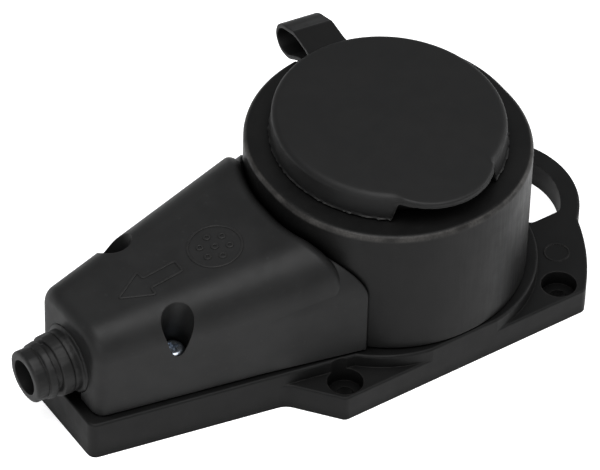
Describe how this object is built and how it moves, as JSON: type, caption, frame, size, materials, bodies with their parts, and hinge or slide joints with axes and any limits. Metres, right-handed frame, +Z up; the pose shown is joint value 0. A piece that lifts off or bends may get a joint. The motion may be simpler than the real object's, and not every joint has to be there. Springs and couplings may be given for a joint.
{
  "type": "trailer wiring connector",
  "caption": "Trailer wiring socket box: flat mounting base with eye, round housing with strap-held rubber cap, tapered cable cover and stepped grommet.",
  "frame": {"origin": "the socket's axis, which is the centre of the four mounting holes, in the plane of the base's underside", "axes": "+Z up, out of the socket's mouth; -X along the cable's way out; +X towards the hanging eye; the cap's strap is at +Y"},
  "size_m": [0.2048, 0.1078, 0.0718],
  "materials": {
    "base_plastic": "matte black moulded nylon, fine texture",
    "cover_plastic": "matte black moulded plastic, fine spark texture",
    "housing_plastic": "satin black plastic, rubbed along the top edge",
    "cap_rubber": "soft matte black rubber",
    "grommet_rubber": "matte black rubber, slightly rough",
    "seal_rubber": "matte black rubber",
    "carrier_plastic": "black glass-filled insulator",
    "contact_brass": "turned brass",
    "clamp_steel": "zinc-plated pressed steel",
    "screw_steel": "bluish zinc plate"
  },
  "bodies": {
    "root": {"base_plate": "base_plastic", "cover_seal": "seal_rubber", "socket_housing": "housing_plastic", "cable_cover": "cover_plastic", "cable_grommet": "grommet_rubber", "cable_clamp_bar": "clamp_steel", "strap_ring": "cap_rubber", "strap_loop": "cap_rubber", "contact_carrier": "carrier_plastic", "carrier_seal": "seal_rubber", "contact_pin_1": "contact_brass", "contact_pin_2": "contact_brass", "contact_pin_3": "contact_brass", "contact_pin_4": "contact_brass", "contact_pin_5": "contact_brass", "contact_pin_6": "contact_brass", "contact_pin_7": "contact_brass", "terminal_screws": "screw_steel", "carrier_screws": "screw_steel", "cover_screws": "screw_steel", "cover_inserts": "contact_brass", "housing_screws": "screw_steel", "clamp_screws": "screw_steel"},
    "cap": {"dust_cap": "cap_rubber"}
  },
  "joints": [
    {"name": "cap_hinge", "type": "hinge", "parent": "root", "child": "cap", "pos_m": [0.00416, 0.05546, 0.0633], "axis": [-0.9903, 0.1392, 0], "range_deg": [0, 150], "deforming": ["strap_loop"]}
  ]
}
